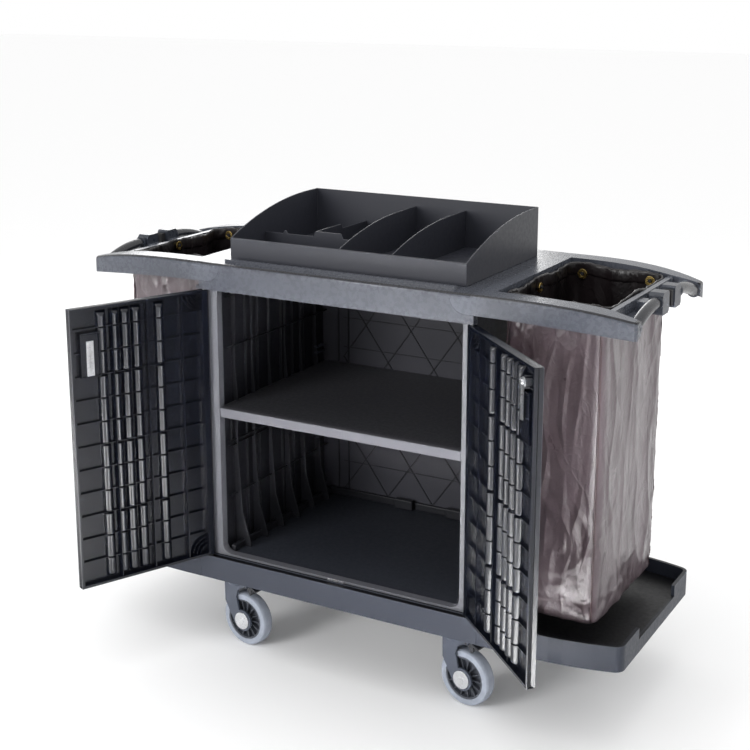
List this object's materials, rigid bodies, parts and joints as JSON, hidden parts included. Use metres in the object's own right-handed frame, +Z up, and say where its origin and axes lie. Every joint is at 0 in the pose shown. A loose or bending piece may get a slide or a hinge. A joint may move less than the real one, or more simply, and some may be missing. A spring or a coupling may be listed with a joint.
{
  "type": "housekeeping cart",
  "caption": "Wheeled service cart with a two-door cabinet and shelf, a divided top organizer, and a hung bag with a push handle and tool holder at each end.",
  "frame": {"origin": "on the floor, under the middle of the base", "axes": "+X along the cart's length to its right end, seen from the doors; the doors face -Y; +Z up"},
  "size_m": [1.564, 0.9401, 1.2193],
  "materials": {
    "grey_plastic": "fine grained moulded surface",
    "black_plastic": "satin moulded surface",
    "organizer_plastic": "satin moulded surface",
    "handle_plastic": "satin",
    "holder_plastic": "satin",
    "rubber": "matt",
    "bag_cloth": "coated cloth with a slight sheen",
    "brass": "polished",
    "fork_paint": "satin paint",
    "hub_plastic": "moulded",
    "tyre_rubber": "matt grey rubber",
    "zinc_steel": "zinc plated"
  },
  "bodies": {
    "cart_body": {"base_platform": "grey_plastic", "end_tray_left": "grey_plastic", "end_tray_right": "grey_plastic", "side_panel_left": "black_plastic", "side_panel_right": "black_plastic", "back_panel": "black_plastic", "front_frame": "grey_plastic", "shelf": "black_plastic", "top_deck": "grey_plastic", "bag_frame_left": "grey_plastic", "bag_frame_right": "grey_plastic", "handle_left": "handle_plastic", "handle_right": "handle_plastic", "tool_holder_left": "holder_plastic", "tool_holder_right": "holder_plastic", "holder_pads_left": "rubber", "holder_pads_right": "rubber", "bag_left": "bag_cloth", "bag_right": "bag_cloth", "grommets_left": "brass", "grommets_right": "brass", "hinge_pins": "zinc_steel", "door_stop": "zinc_steel", "caster_plates": "zinc_steel", "caster_bolts": "zinc_steel", "kingpins": "zinc_steel"},
    "organizer": {"organizer_tray": "organizer_plastic", "organizer_divider_left": "organizer_plastic", "organizer_divider_right": "organizer_plastic", "organizer_low_cross": "organizer_plastic", "organizer_low_side": "organizer_plastic"},
    "left_door": {"door_left": "black_plastic", "latch_plate": "zinc_steel", "latch_screws": "zinc_steel"},
    "right_door": {"door_right": "black_plastic", "lock_housing": "zinc_steel"},
    "lock": {"lock_cam": "zinc_steel"},
    "caster_front_left": {"fork_front_left": "fork_paint", "axle_front_left": "zinc_steel"},
    "wheel_front_left": {"hub_front_left": "hub_plastic", "tyre_front_left": "tyre_rubber"},
    "brake_pedal_front_left": {"brake_front_left": "handle_plastic"},
    "caster_front_right": {"fork_front_right": "fork_paint", "axle_front_right": "zinc_steel"},
    "wheel_front_right": {"hub_front_right": "hub_plastic", "tyre_front_right": "tyre_rubber"},
    "brake_pedal_front_right": {"brake_front_right": "handle_plastic"},
    "caster_back_left": {"fork_back_left": "fork_paint", "axle_back_left": "zinc_steel"},
    "wheel_back_left": {"hub_back_left": "hub_plastic", "tyre_back_left": "tyre_rubber"},
    "caster_back_right": {"fork_back_right": "fork_paint", "axle_back_right": "zinc_steel"},
    "wheel_back_right": {"hub_back_right": "hub_plastic", "tyre_back_right": "tyre_rubber"}
  },
  "joints": [
    {"name": "organizer_lift", "type": "slide", "parent": "cart_body", "child": "organizer", "axis": [0, 0, 1], "range_m": [0, 0.15]},
    {"name": "left_door_hinge", "type": "hinge", "parent": "cart_body", "child": "left_door", "pos_m": [-0.389, -0.286, 0.642], "axis": [0, 0, 1], "range_deg": [-66, 114]},
    {"name": "right_door_hinge", "type": "hinge", "parent": "cart_body", "child": "right_door", "pos_m": [0.389, -0.286, 0.642], "axis": [0, 0, 1], "range_deg": [-137, 43]},
    {"name": "lock_turn", "type": "hinge", "parent": "right_door", "child": "lock", "pos_m": [0.62888, -0.5097, 0.966], "axis": [-0.682, -0.7314, 0], "range_deg": [0, 90]},
    {"name": "swivel_front_left", "type": "hinge", "parent": "cart_body", "child": "caster_front_left", "pos_m": [-0.338, -0.225, 0.181], "axis": [0, 0, 1], "continuous": true},
    {"name": "roll_front_left", "type": "hinge", "parent": "caster_front_left", "child": "wheel_front_left", "pos_m": [-0.31021, -0.22841, 0.075], "axis": [0.1219, 0.9925, 0], "continuous": true},
    {"name": "brake_press_front_left", "type": "hinge", "parent": "caster_front_left", "child": "brake_pedal_front_left", "pos_m": [-0.2983, -0.22987, 0.1776], "axis": [0.1219, 0.9925, 0], "range_deg": [0, 24]},
    {"name": "swivel_front_right", "type": "hinge", "parent": "cart_body", "child": "caster_front_right", "pos_m": [0.338, -0.225, 0.181], "axis": [0, 0, 1], "continuous": true},
    {"name": "roll_front_right", "type": "hinge", "parent": "caster_front_right", "child": "wheel_front_right", "pos_m": [0.36549, -0.23034, 0.075], "axis": [0.1908, 0.9816, 0], "continuous": true},
    {"name": "brake_press_front_right", "type": "hinge", "parent": "caster_front_right", "child": "brake_pedal_front_right", "pos_m": [0.37727, -0.23263, 0.1776], "axis": [0.1908, 0.9816, 0], "range_deg": [0, 24]},
    {"name": "swivel_back_left", "type": "hinge", "parent": "cart_body", "child": "caster_back_left", "pos_m": [-0.338, 0.225, 0.181], "axis": [0, 0, 1], "continuous": true},
    {"name": "roll_back_left", "type": "hinge", "parent": "caster_back_left", "child": "wheel_back_left", "pos_m": [-0.31034, 0.22062, 0.075], "axis": [0.1564, 0.9877, 0], "continuous": true},
    {"name": "swivel_back_right", "type": "hinge", "parent": "cart_body", "child": "caster_back_right", "pos_m": [0.338, 0.225, 0.181], "axis": [0, 0, 1], "continuous": true},
    {"name": "roll_back_right", "type": "hinge", "parent": "caster_back_right", "child": "wheel_back_right", "pos_m": [0.36539, 0.21918, 0.075], "axis": [0.2079, 0.9781, 0], "continuous": true}
  ]
}
